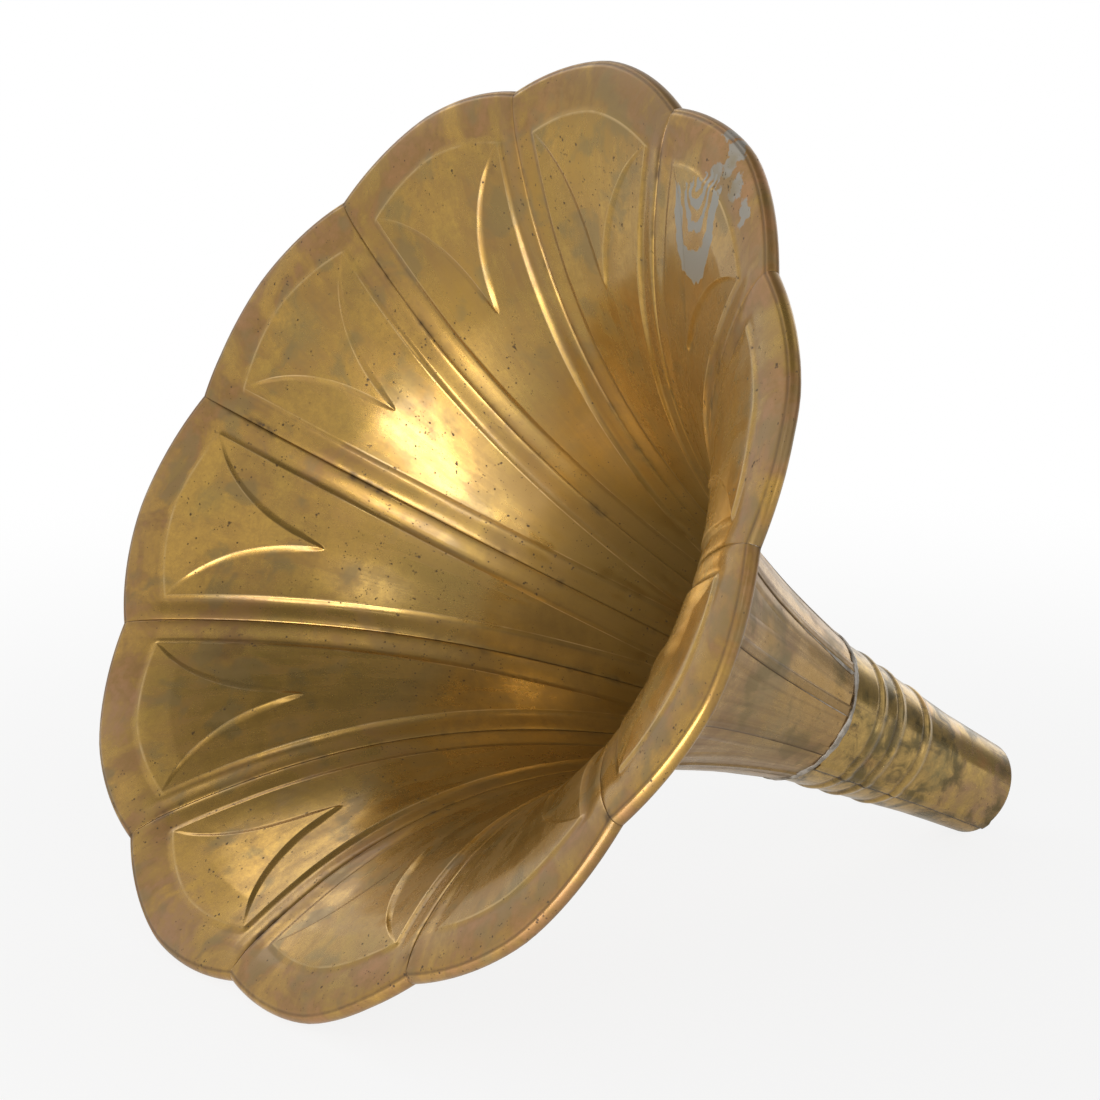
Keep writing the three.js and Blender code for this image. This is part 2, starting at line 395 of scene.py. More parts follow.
@dataclass(frozen=True)
class Flare:
    """The bell's law: depth falls as a quadratic in the logarithm of the radius, then eases to a lip."""

    depth_end: float = 296 * MM
    mouth: float = 250 * MM
    throat: float = 45.7 * MM
    bend_share: float = 0.305
    lip: float = 232 * MM
    crest: float = 262 * MM
    notch: float = 249.5 * MM
    bow_share: float = 1.6
    petals: int = 11

    @property
    def span(self) -> float:
        """Logarithm of the mouth over the throat."""
        return math.log(self.mouth / self.throat)

    @property
    def petal_angle(self) -> float:
        """Angle of one petal."""
        return math.tau / self.petals

    @property
    def lip_slope(self) -> float:
        """Slope where the lip begins."""
        rate = 1 - self.bend_share + 2 * self.bend_share * self.share_of(self.lip)
        return -self.depth_end / (self.lip * self.span) * rate

    def turn(self, number: int) -> float:
        """Angle at which a petal begins, counted from 1."""
        return math.pi / 2 + (number - 1) * self.petal_angle

    def share_of(self, radius: float) -> float:
        """Share of the way down at a radius."""
        return math.log(self.mouth / radius) / self.span

    def radius_at(self, share: Value) -> Value:
        """Radius at a share of the way down, in even logarithms."""
        return (self.throat / self.mouth) ** share * self.mouth

    def parts(self, radius: Value) -> tuple[Value, Value, Value]:
        """Splits a radius into what the law takes, its share of the way down and what is past the lip."""
        held = radius.least(self.lip)
        return held, (self.mouth / held).ln() / self.span, (radius - self.lip).most(0)

    def depth(self, radius: Value) -> Value:
        """Depth of the inner face behind the mouth."""
        _, share, past = self.parts(radius)
        return (share * (share * self.bend_share + (1 - self.bend_share)) * self.depth_end
                + self.lip_slope * (past - past * past / (2 * (self.crest - self.lip))))

    def slope(self, radius: Value) -> Value:
        """Change of depth with radius."""
        held, share, past = self.parts(radius)
        return ((share * (2 * self.bend_share) + (1 - self.bend_share)) * (-self.depth_end / self.span) / held
                * (1 - past / (self.crest - self.lip)))

    def radius_at_depth(self, depth: Value) -> Value:
        """Solves the law for the radius.

        Args:
            depth: Depth behind the mouth.

        Returns:
            Radius of the inner face at that depth.
        """
        plain = 1 - self.bend_share
        root = (depth * (4 * self.bend_share / self.depth_end) + plain * plain).root()
        return self.radius_at((root - plain) / (2 * self.bend_share))

    def rim(self, share: Value) -> Value:
        """Radius of the rim at a share of a petal's angle."""
        bow = 1 - (share.fraction() * 2 - 1).size() ** self.bow_share
        return bow * (self.crest - self.notch) + self.notch

    def point(self, form: FormTree, radius: Value, angle: Value, lift: Value, side: Any = 0
              ) -> NodeSocket:
        """A place on the bell.

        Args:
            form: The tree that it is worked out in.
            radius: Radius on the inner face.
            angle: Angle round the horn.
            lift: Distance out of the inner face.
            side: Distance outwards along the sheet.

        Returns:
            The place in the horn's coordinates.
        """
        slope = self.slope(radius)
        norm = 1 / (slope * slope + 1).root()
        reach = radius + slope * norm * lift + norm * side
        return form.round(reach, angle, self.depth(radius) - norm * lift + slope * norm * side)


@dataclass(frozen=True)
class Petal:
    """One pressed petal: seam strips, raised panel and tulip, rim zone, rolled rim and lap tab.

    A bend of the rim has its direction and half width in degrees and its height to the front. A wave of the
    sheet has its pattern and its height.
    """

    flare: Flare = Flare()
    sheet: float = 0.8 * MM
    gap: float = 0.1 * MM
    parting: float = 0.08 * MM
    strip: float = 15 * MM
    flank: float = 4 * MM
    strip_bulge: float = 0.8 * MM
    panel_rise: float = 1.8 * MM
    arc_rise_share: float = 0.6
    panel_end: float = 2.5 * MM
    panel_fade: float = 6 * MM
    rim_zone: float = 24 * MM
    tulip_rise: float = 1.25 * MM
    tulip_tip: float = 159 * MM
    tulip_bow_share: float = 1.45
    tulip_fade_share: float = 0.22
    tulip_band: float = 4.4 * MM
    tulip_point_share: float = 0.16
    tulip_point_power: float = 0.6
    tulip_narrow_share: float = 0.4
    tulip_straight_share: float = 0.65
    tulip_taper_share: float = 0.6
    tulip_start_share: float = 0.04
    shallow_share: float = 0.3
    shallow_radius: float = 54.84 * MM
    full_radius: float = 165 * MM
    strip_power: float = 1.8
    middle_power: float = 1.6
    edge_groove: float = 0.4 * MM
    edge_groove_bell: tuple[float, float] = (0.1, 0.11)
    lap: float = 5 * MM
    lap_end_share: float = 0.75
    joggle: float = 0.45 * MM
    step: float = 0.5 * MM
    roll: float = 4.45 * MM
    roll_turn: float = math.radians(170)
    waves: tuple[tuple[Pattern, float], ...] = ((Pattern(16, 1, 0.5, 4.2), 0.5 * MM),
                                                (Pattern(70, 1, 0.5, 8.1), 0.1 * MM))
    rim_calm: float = 0.85
    bends: tuple[tuple[float, float, float], ...] = ((148, 46, 4.5 * MM), (22, 42, -6.0 * MM))
    bend_start: float = 137.5 * MM
    seam_grime: float = 4 * MM
    column_counts: tuple[int, ...] = (8, 6, 10, 6, 14)
    tab_columns: int = 4
    tab_end_rows: int = 3
    row_counts: tuple[int, ...] = (120, 64, 6, 16, 20)

    def fullness(self, seam_radius: Value) -> Value:
        """Share of the full relief, which gets shallower towards the throat."""
        full = seam_radius.ramp(self.shallow_radius, self.full_radius)
        return full * (1 - self.shallow_share) + self.shallow_share

    def bend(self, angle: Value, reach: Value) -> Value:
        """How far the sheet is bent at a place.

        Args:
            angle: Angle round the horn.
            reach: Radius of the place.

        Returns:
            The distance to the front.
        """
        lift = angle * 0
        for centre, width, height in self.bends:
            far = math.cos(math.radians(width))
            lift = lift + ((angle - math.radians(centre)).cos() - far).most(0) / (1 - far) * height
        return lift * reach.ramp(self.bend_start, self.flare.crest) ** 2

    def swell(self, distance: Value, seam_radius: Value) -> Value:
        """How far the strip bulges at a place.

        Args:
            distance: Distance from the strip's seam.
            seam_radius: Radius of the place's row at the seam.

        Returns:
            The bulge's height.
        """
        half = seam_radius * (self.flare.petal_angle / 2)
        crown = (half - self.panel_end).least(self.strip) - self.flank
        share = (distance / crown).clamp() ** (1 / self.strip_power)
        return (share * math.pi).sin() * self.strip_bulge * self.fullness(seam_radius)

    def form(self, face: Material) -> FormTree:
        """Builds the petal's tree.

        Args:
            face: The inner face's material.

        Returns:
            The tree, with the petal's turn as its input.
        """
        flare = self.flare
        row_count, half_count = sum(self.row_counts), sum(self.column_counts)
        across_count = 2 * half_count
        column_count = across_count + self.tab_columns
        form = FormTree("petal", column_count, row_count)
        turn = form.number("Turn", 0)
        row = form.along * row_count
        throat, tulip, bank, rim, roll = row.stages(self.row_counts)
        down = flare.radius_at(1 - throat * (1 - flare.share_of(self.tulip_tip)))

        def radius(edge: Any) -> Value:
            """Radius of a row where the rim has a given radius."""
            return (down + (edge - (self.rim_zone + self.tulip_tip)) * tulip + bank * self.flank
                    + rim * (self.rim_zone - self.flank))

        seam_radius = radius(flare.notch)
        width = seam_radius * flare.petal_angle
        half = width * 0.5
        crease = (half - self.panel_end).least(self.strip)
        crown = crease - self.flank
        inner = half - (half - self.strip) * tulip ** self.tulip_bow_share
        point = tulip.ramp(0, self.tulip_point_share) ** self.tulip_point_power
        taper = (1 - tulip).ramp(0, self.tulip_taper_share)
        taper = taper * (1 - self.tulip_narrow_share) + self.tulip_narrow_share
        outer = (inner - self.tulip_band * taper * point).most((inner + crease) * 0.5)

        column = form.across * column_count
        share = (column / across_count).least(1)
        folded = (1 - (share * 2 - 1).size()) * half_count
        strip, flank, web, band, middle = folded.stages(self.column_counts)
        start = self.parting / 2
        near = ((crown - start) * strip ** self.strip_power + (crease - crown) * flank
                + (outer - crease) * web.smooth() + (inner - outer) * band
                + (half - inner) * middle ** self.middle_power + start)
        tab = column.ramp(across_count, column_count)
        place = near + (share > 0.5) * (width - near * 2) + tab * (self.lap + start)
        angle = place / seam_radius
        reach = radius(flare.rim(angle / flare.petal_angle))
        around = turn + angle

        lapped = 1 - rim.ramp(self.lap_end_share, 1)
        joggle = place.ramp(width - self.joggle, width).smooth()
        shallow = 1 - tulip.smooth() * (1 - self.arc_rise_share)
        narrow_fade = ((half - self.strip) / self.panel_fade).clamp()
        pressed, rim_pressed = flank.bank(), (1 - bank).bank()
        straight = self.tulip_straight_share
        risen = band * straight + band.bank() * (1 - straight)
        risen_fade = ((1 - tulip) / self.tulip_fade_share).least(1) * tulip.ramp(0, self.tulip_start_share)
        bulge = ((strip * math.pi).sin() * (1 - flank) * self.strip_bulge * self.fullness(seam_radius)
                 + self.swell((place - width).most(0), seam_radius))
        groove = roll.bell(*self.edge_groove_bell)

        base = flare.point(form, reach, around, form.across * 0)
        lift = (pressed * rim_pressed * narrow_fade * shallow * self.fullness(seam_radius) * self.panel_rise
                + risen * risen_fade * self.tulip_rise - joggle * lapped * self.step + bulge * (1 - rim)
                - groove * self.edge_groove + self.bend(around, reach))
        calm = 1 - (bank + rim).clamp() * self.rim_calm
        for pattern, height in self.waves:
            lift = lift + (form.noise(base, pattern) - 0.5) * (2 * height) * calm
        turned = roll * self.roll_turn
        front = (turned.cos() - 1) * self.roll + lift

        roll_start = row_count - self.row_counts[-1]
        form.drop((column > across_count) * (row > roll_start - self.tab_end_rows))
        form.keep("strip", 1 - pressed * rim_pressed)
        form.keep("crease", pressed.tent(0.15, 0.25) * (flank > 0) * rim_pressed)
        form.keep("valley", risen.tent(0.1, 0.25) * risen_fade)
        # ridges: folds and tulip crests, rubbed bright and also given a painted highlight
        top = rim_pressed.ramp(0.75, 1)
        fold = pressed.ramp(0.75, 1) * (1 - web * 20).clamp()
        crest = band.ramp(0.8, 1) * (1 - middle * 20).clamp() * risen_fade
        form.keep("ridge_wear_and_highlight", (top * fold).most(top * tulip.ramp(0.985, 1) * pressed).most(crest))
        form.keep("seam", 1 - near.ramp(0, self.seam_grime))
        form.keep("rim", (bank + rim + roll) / 3)
        form.keep("edge", groove)
        form.keep("reach", reach / flare.mouth)
        form.keep("around", around)
        form.place(flare.point(form, reach, around, front, turned.sin() * self.roll), face, merge=0.02 * MM)
        return form

    def build(self, number: int, form: FormTree, back: Material, placing: Matrix) -> None:
        """Makes one petal and puts it in the frame.

        Args:
            number: The petal's number, from 1.
            form: The shared tree.
            back: The outer face's material.
            placing: From the horn's coordinates to the frame.
        """
        name = f"petal_{number:02d}"
        mesh = grow(name, form, Turn=self.flare.turn(number))
        hand_in(name, thicken(name, mesh, self.sheet, back), placing)


@dataclass(frozen=True)
class SeamSolder:
    """The solder along the free edge of a lap, on the bell's back, wider at the throat on one seam."""

    petal: Petal = Petal()
    width: float = 0.4 * MM
    height: float = 0.3 * MM
    section: int = 8
    steps: int = 220
    smeared: int = 8
    smear: float = 8.0
    smear_reach_share: float = 0.12
    beading: Pattern = Pattern(60)
    seed_step: float = 3.7

    def form(self, face: Material) -> FormTree:
        """Builds the run's tree.

        Args:
            face: The solder's material.

        Returns:
            The tree, with the seam's turn, its seed and its smear as inputs.
        """
        petal, flare = self.petal, self.petal.flare
        form = FormTree("seam_solder", self.section, self.steps)
        turn, seed, smear = (form.number(name, 0) for name in ("Turn", "Seed", "Smear"))
        end = flare.share_of(flare.notch - petal.rim_zone + petal.flank)
        radius = flare.radius_at(1 - form.along * (1 - end))
        uneven = form.noise(form.vector(form.along * 0.4, seed, 0), self.beading) * 0.9 + 0.45
        spread = 1 + smear * (1 - form.along.ramp(0, self.smear_reach_share)).smooth()
        across, lift = form.run(uneven, spread * self.width, self.height)
        across = across + (petal.lap + petal.gap)
        angle = turn + across / radius
        lift = (lift - (petal.sheet + self.height * 0.5) + petal.swell(across, radius)
                + petal.bend(angle, radius))
        form.place(flare.point(form, radius, angle, lift), face)
        return form

    def build(self, number: int, form: FormTree, placing: Matrix) -> None:
        """Makes one run and puts it in the frame.

        Args:
            number: The seam's number, from 1.
            form: The shared tree.
            placing: From the horn's coordinates to the frame.
        """
        name = f"seam_solder_{number:02d}"
        smear = self.smear if number == self.smeared else 0.0
        mesh = grow(name, form, Turn=self.petal.flare.turn(number), Seed=number * self.seed_step,
                    Smear=smear)
        hand_in(name, mesh, placing)


@dataclass(frozen=True)
class Neck:
    """The rolled neck with its lap, its three beads and the solder on it.

    The counts of a solder are its faces across and along.
    """

    flare: Flare = Flare()
    sheet: float = 0.8 * MM
    gap: float = 0.3 * MM
    length: float = 459 * MM
    end: float = 28.8 * MM
    break_depth: float = 408 * MM
    break_radius: float = 32.5 * MM
    spigot: float = 10 * MM
    seam: float = math.radians(39.6)
    lap: float = 5 * MM
    joggle: float = 2.5 * MM
    beads: tuple[float, ...] = (327 * MM, 346 * MM, 372.5 * MM)
    bead_half: float = 3.8 * MM
    bead_spread: float = 1.15
    bead_height: float = 1.0 * MM
    groove_depth: float = 0.35 * MM
    groove_half: float = 2.4 * MM
    groove_offset: float = 1.05
    groove_grime: float = 1.3
    grime_after: float = 0.6
    crest_share: float = 0.6
    lap_grime: float = 2.2 * MM
    step_grime: float = 1.4 * MM
    wave: float = 0.45 * MM
    waves: Pattern = Pattern(22, 1, 0.5, 2.3)
    columns: int = 180
    lap_columns: int = 5
    rows: int = 260
    seam_counts: tuple[int, int] = (8, 200)
    seam_width: float = 0.7 * MM
    seam_height: float = 0.5 * MM
    seam_lift: float = 0.3 * MM
    seam_beading: Pattern = Pattern(60, 2, 0.5, 9.9)
    ring_counts: tuple[int, int] = (16, 240)
    ring_half: float = 2.7 * MM
    ring_height: float = 1.3 * MM
    ring_depth: float = 1.5 * MM
    ring_drift: float = 4 * MM
    ring_widths: Pattern = Pattern(2.4, 4, 0.65, 5.5)
    ring_drifts: Pattern = Pattern(1.3, 1, 0.5, 8.5)
    ring_heights: Pattern = Pattern(7, 2, 0.5, 1.5)
    wide_side: float = math.radians(-20)

    @property
    def mid_wall(self) -> float:
        """Radius at the middle of the end's cut edge."""
        return self.end - self.sheet / 2

    def outline(self, depth: Value) -> Value:
        """Radius of the outer face without its beads.

        Args:
            depth: Depth behind the mouth.

        Returns:
            The radius at that depth.
        """
        start = self.flare.throat - self.gap
        root = self.flare.depth_end
        upper = depth.ramp(root, self.break_depth) * (self.break_radius - start)
        lower = depth.ramp(self.break_depth, self.length) * (self.end - self.break_radius)
        inside = self.flare.radius_at_depth(depth.least(root)) - self.flare.throat
        return upper + lower + inside + start

    def beside(self, depth: Value, offset: float, half: float) -> Value:
        """Soft lines round the neck, each at the same offset from its bead.

        Args:
            depth: Depth behind the mouth.
            offset: The offset, in half widths of a bead.
            half: Distance at which a line fades to 0.

        Returns:
            1 in the middle of each line.
        """
        share = depth * 0
        for bead in self.beads:
            share = share.most(depth.bell(bead + offset * self.bead_half, half))
        return share

    def relief(self, depth: Value) -> Value:
        """Height of the beads and their grooves above the plain outline."""
        return (self.beside(depth, 0, self.bead_half * self.bead_spread) * self.bead_height
                - self.beside(depth, -self.groove_offset, self.groove_half) * self.groove_depth)

    def form(self, face: Material) -> FormTree:
        """Builds the neck's tree.

        Args:
            face: The outer face's material.

        Returns:
            The tree.
        """
        form = FormTree("neck", self.columns + self.lap_columns, self.rows)
        top = self.flare.depth_end - self.spigot
        depth = form.along * (self.length - top) + top
        clear = self.flare.depth_end + self.ring_half
        lapped = depth.ramp(clear, clear + self.joggle)
        radius = self.outline(depth) + self.relief(depth)
        around = radius * math.tau
        column = form.across * (self.columns + self.lap_columns)
        turn = column.ramp(0, self.columns)
        tab = column.ramp(self.columns, self.columns + self.lap_columns)
        place = turn * (around - self.gap) + tab * (self.lap + self.gap) + self.gap / 2
        joggle = place.ramp(around - self.joggle, around).smooth()
        angle = place / radius + self.seam
        uneven = (form.noise(form.round(radius, angle, depth), self.waves) - 0.5) * (2 * self.wave)
        calm = depth.ramp(clear, self.beads[0]) * (1 - depth.ramp(self.break_depth, self.length))
        reach = radius + uneven * calm + joggle * lapped * (self.sheet + self.gap)
        form.drop((column > self.columns) * (depth < clear + self.joggle))
        edge = self.lap + self.gap
        after = self.beside(depth, self.groove_offset, self.groove_half) * self.grime_after
        step = (place - around).bell(edge, self.step_grime)
        before = self.beside(depth, -self.groove_offset, self.groove_half * self.groove_grime)
        form.keep("seam", place.bell(edge, self.lap_grime).most(step))
        form.keep("groove", before.most(after))
        # bead crests: rubbed bright and also given a painted highlight
        form.keep("crest", self.beside(depth, 0, self.bead_half * self.crest_share))
        form.keep("end", depth.ramp(self.break_depth, self.length))
        form.keep("around", angle)
        form.keep("reach", depth / self.flare.mouth)
        form.place(form.round(reach, angle, depth), face, merge=0.01 * MM)
        return form

    def ring_form(self, face: Material) -> FormTree:
        """Builds the uneven solder ring round the throat joint.

        Args:
            face: The solder's material.

        Returns:
            The tree.
        """
        form = FormTree("throat_solder", *self.ring_counts)
        turn, section = form.along * math.tau, form.across * math.tau
        where = form.vector(turn.cos(), turn.sin(), section.cos() * 0.35)
        low = (turn - self.wide_side).cos() * 0.5 + 0.5
        wide = form.noise(where, self.ring_widths).ramp(0.3, 0.7) * 1.1 + 0.15
        drift = (form.noise(where, self.ring_drifts) - 0.5) * self.ring_drift
        depth = (section.cos() * wide * (low * 0.9 + 0.35) * self.ring_half + drift
                 + (self.flare.depth_end + self.ring_depth))
        high = (form.noise(where, self.ring_heights) * 0.8 + 0.5) * self.ring_height
        reach = self.outline(depth.most(self.flare.depth_end)) + section.sin() * high + self.sheet
        form.place(form.round(reach, turn, depth), face)
        return form

    def seam_form(self, face: Material) -> FormTree:
        """Builds the solder along the neck's lap.

        Args:
            face: The solder's material.

        Returns:
            The tree.
        """
        form = FormTree("neck_seam_solder", *self.seam_counts)
        clear = self.flare.depth_end + self.ring_half + self.joggle
        depth = form.along * (self.length - clear) + clear
        radius = self.outline(depth) + self.relief(depth)
        uneven = form.noise(form.vector(form.along * 0.4, 0, 0), self.seam_beading) * 0.9 + 0.5
        across, lift = form.run(uneven, self.seam_width, self.seam_height)
        angle = (across + (self.lap + self.gap)) / radius + self.seam
        form.place(form.round(radius + lift + self.seam_lift, angle, depth), face)
        return form

    def build(self, outside: Material, inside: Material, solder: Material,
              stained: Material, placing: Matrix) -> None:
        """Makes the neck and its solder and puts them in the frame.

        Args:
            outside: The outer face's material.
            inside: The inner face's material.
            solder: The ring's material.
            stained: The material of the solder along the lap.
            placing: From the horn's coordinates to the frame.
        """
        tube = thicken("neck_tube", grow("neck_tube", self.form(outside)), self.sheet, inside)
        hand_in("neck_tube", tube, placing)
        runs = {"throat_solder": self.ring_form(solder), "neck_seam_solder": self.seam_form(stained)}
        for name, form in runs.items():
            hand_in(name, grow(name, form), placing)


class Finish(Nodes):
    """A material's tree, with the places and attributes that patterns read."""

    def __init__(self, name: str) -> None:
        """Starts a material.

        Args:
            name: The material's name.
        """
        self.material = bpy.data.materials.new(name)
        self.material.use_nodes = True
        super().__init__(self.material.node_tree)
        self.tree.nodes.clear()
        self.here = self.add("ShaderNodeTexCoord").outputs["Object"]

    def attribute(self, name: str) -> Value:
        """Reads a number stored on the points."""
        return Value(self, self.add("ShaderNodeAttribute", {"attribute_name": name}).outputs["Fac"])

    def pattern(self, pattern: Pattern) -> Value:
        """Reads a pattern at the surface's own places."""
        return self.noise(self.here, pattern)

    def mix(self, mask: Any, low: Any, high: Any) -> NodeSocket:
        """Mixes two colours.

        Args:
            mask: 0 for the first colour and 1 for the second.
            low: The first colour.
            high: The second colour.

        Returns:
            The mixed colour.
        """
        node = self.add("ShaderNodeMix", {"data_type": "RGBA"})
        for socket, value in ((node.inputs[0], mask), (node.inputs[6], low), (node.inputs[7], high)):
            self.join(socket, (*value, 1) if isinstance(value, tuple) else value)
        return node.outputs[2]

    def streaks(self, across: float, along: float, seed: float) -> Value:
        """Smears that run from the throat to the rim.

        Args:
            across: Smears in a radian round the horn.
            along: Smears in a mouth's radius along the sheet.
            seed: Chooses one of many such patterns.

        Returns:
            Noise between 0 and 1.
        """
        place = self.vector(self.attribute("around") * across, self.attribute("reach") * along, 0)
        return self.noise(place, Pattern(1, 3, 0.6, seed, 0.4))

    def spots(self, scale: float, size: Any, seed: float) -> Value:
        """Specks at scattered places.

        Args:
            scale: Cells per metre.
            size: Radius of a speck as a share of its cell.
            seed: Chooses one of many such patterns.

        Returns:
            1 in the specks.
        """
        node = self.add("ShaderNodeTexVoronoi", {"voronoi_dimensions": "3D"},
                        {"Vector": self.shifted(self.here, seed), "Scale": scale})
        return 1 - Value(self, node.outputs["Distance"]).ramp(size * 0.5, size)

    def near(self, centre: Vector, reach: float) -> Value:
        """A soft patch, 1 at a place in the frame and 0 beyond its reach."""
        node = self.add("ShaderNodeVectorMath", {"operation": "DISTANCE"}, {0: self.here, 1: tuple(centre)})
        return (1 - Value(self, node.outputs["Value"]) / reach).clamp().smooth()

    def bump(self, height: Value, distance: float) -> NodeSocket:
        """Turns a height into a normal."""
        inputs = {"Strength": 1.0, "Distance": distance, "Height": height}
        return self.add("ShaderNodeBump", inputs=inputs).outputs[0]

    def end(self, shader: Node) -> Material:
        """Ends the material in a shader."""
        self.add("ShaderNodeOutputMaterial", inputs={0: shader.outputs[0]})
        return self.material

    def surface(self, inputs: dict) -> Material:
        """Ends the material in a Principled shader."""
        return self.end(self.add("ShaderNodeBsdfPrincipled", inputs=inputs))


@dataclass(frozen=True)
class Marks:
    """Patches of one colour: stains, and in one set a painted shadow. Each place has its x, y, z and reach in
    millimetres in the frame.

    Patches that are crisper than 1 have sharper edges, which finer noise breaks up.
    """

    colour: Colour
    places: tuple[tuple[int, int, int, int], ...]
    strength: float = 0.8
    crisp: float = 1.0
    torn: Pattern = Pattern(150, 3, 0.6, 6.1)

    def mask(self, finish: Finish, patches: Value) -> Value:
        """Where the stains lie.

        Args:
            finish: The material that they lie in.
            patches: Noise that breaks them up.

        Returns:
            The share of the stain's colour.
        """
        share = patches * 0
        for *centre, reach in self.places:
            share = share.most(finish.near(Vector(centre) * MM, reach * MM))
        if self.crisp > 1:
            patches = finish.pattern(self.torn)
        return ((share * 1.1 + patches * 2.8 - 1.85) * self.crisp).clamp() * share.ramp(0, 0.2) * self.strength


BELL_STAINS_AND_SHADE = (
    Marks((0.20, 0.10, 0.04), ((-88, -45, 420, 10), (-84, -44, 409, 12), (144, -65, 328, 26),
                               (170, -76, 346, 22), (-170, -165, 138, 30))),
    Marks((0.29, 0.225, 0.085), ((-132, -55, 403, 18), (-221, -145, 209, 26), (-205, -96, 307, 36),
                                 (91, -45, 415, 30)), 0.6),
    Marks((0.42, 0.235, 0.12), ((-65, -264, 14, 60), (-200, -223, 94, 40), (245, -113, 310, 50)), 0.7),
    Marks((0.25, 0.16, 0.065), ((2, -36, 460, 75), (60, -37, 452, 50))),
    Marks((0.53, 0.31, 0.045), ((-9, -35, 423, 75), (-45, -38, 392, 70), (35, -33, 373, 60),
                                (-12, -24, 346, 70), (-107, -45, 330, 60)), 0.75),
    # painted shadow: dark brown deep on the lower side of the bell, near the throat, where shade falls
    Marks((0.24, 0.155, 0.05), ((-78, -50, 113, 85), (-50, -10, 110, 70), (-81, -12, 136, 50)), 0.85),
    Marks((0.36, 0.28, 0.24), ((59, -223, 41, 30), (-76, -183, 70, 30)), 0.25),
    Marks((0.34, 0.32, 0.27), ((133, -54, 425, 11), (144, -58, 415, 13), (157, -63, 405, 10),
                               (123, -53, 423, 10), (135, -50, 434, 12), (124, -45, 440, 10)), 0.9, 5),
)
BACK_STAINS = (
    Marks((0.55, 0.32, 0.08), ((54, 80, 128, 50), (47, 102, 122, 40), (69, 35, 165, 30)), 0.95),
    Marks((0.16, 0.13, 0.05), ((45, 106, 127, 18), (63, 47, 146, 16)), 0.85),
    Marks((0.47, 0.35, 0.165), ((69, 32, 132, 50), (54, 54, 101, 50)), 0.7),
)
NECK_STAINS = (
    Marks((0.20, 0.155, 0.05), ((30, 146, 150, 32), (38, 160, 128, 22), (30, 190, 110, 22),
                                (22, 232, 96, 34), (41, 132, 110, 12), (36, 186, 78, 12)), 0.9, 1.01),
    Marks((0.66, 0.35, 0.12), ((47, 107, 99, 13), (45, 102, 87, 11), (39, 135, 69, 12), (27, 237, 52, 16),
                               (21, 195, 91, 14)), 0.9, 1.01),
    Marks((0.50, 0.30, 0.16), ((29, 242, 26, 40), (31, 215, 37, 36), (25, 217, 70, 22)), 0.9),
    Marks((0.26, 0.21, 0.09), ((34, 195, 53, 26), (43, 138, 84, 16), (37, 165, 91, 18)), 0.8, 1.01),
)


@dataclass(frozen=True)
class Wear:
    """Where age shows on a piece: tarnish, grime, the dull depth of the bell, which is also painted shade, and
    ridges rubbed bright, which also carry a painted highlight.
    """

    worn: Value
    dirt: Value
    deep_dull_shade: Value
    ridge_wear_and_highlight: Value


@dataclass(frozen=True)
class Drip:
    """A torn film that dried in nested loops, open at the top, with bare bands of a middle and half width."""

    colour: Colour = (0.34, 0.32, 0.27)
    tip: tuple[float, float] = (0.103, 0.3650)
    lean: float = 0.12
    half_width: float = 23 * MM
    height: float = 52 * MM
    bare: tuple[tuple[float, float], ...] = ((0.60, 0.085), (0.35, 0.05), (0.12, 0.05))
    square: float = 2.8
    drift: Pattern = Pattern(42, 2, 0.5, 12.5)
    torn: Pattern = Pattern(200, 2, 0.5, 4.8)

    def mask(self, finish: Finish) -> Value:
        """Where the film lies.

        Args:
            finish: The material that it lies in.

        Returns:
            1 on the film and 0 beside it.
        """
        x, _, z = finish.split(finish.here)
        drift, torn = finish.pattern(self.drift) - 0.5, finish.pattern(self.torn) - 0.5
        rise = z - self.tip[1]
        up = rise / self.height + drift * 0.4
        side = (x - self.tip[0] - rise * self.lean) / self.half_width + drift * 0.8
        squared = side.size() ** self.square + (1 - up).size() ** self.square
        loop = squared ** (1 / self.square) + torn * 0.15
        grey = (1 - loop.ramp(0.99, 1.01)) * (1 - (up + torn * 0.5).ramp(0.96, 1))
        for middle, half in self.bare:
            grey = grey * ((loop - middle).size() - half).ramp(-0.01, 0.01)
        return grey


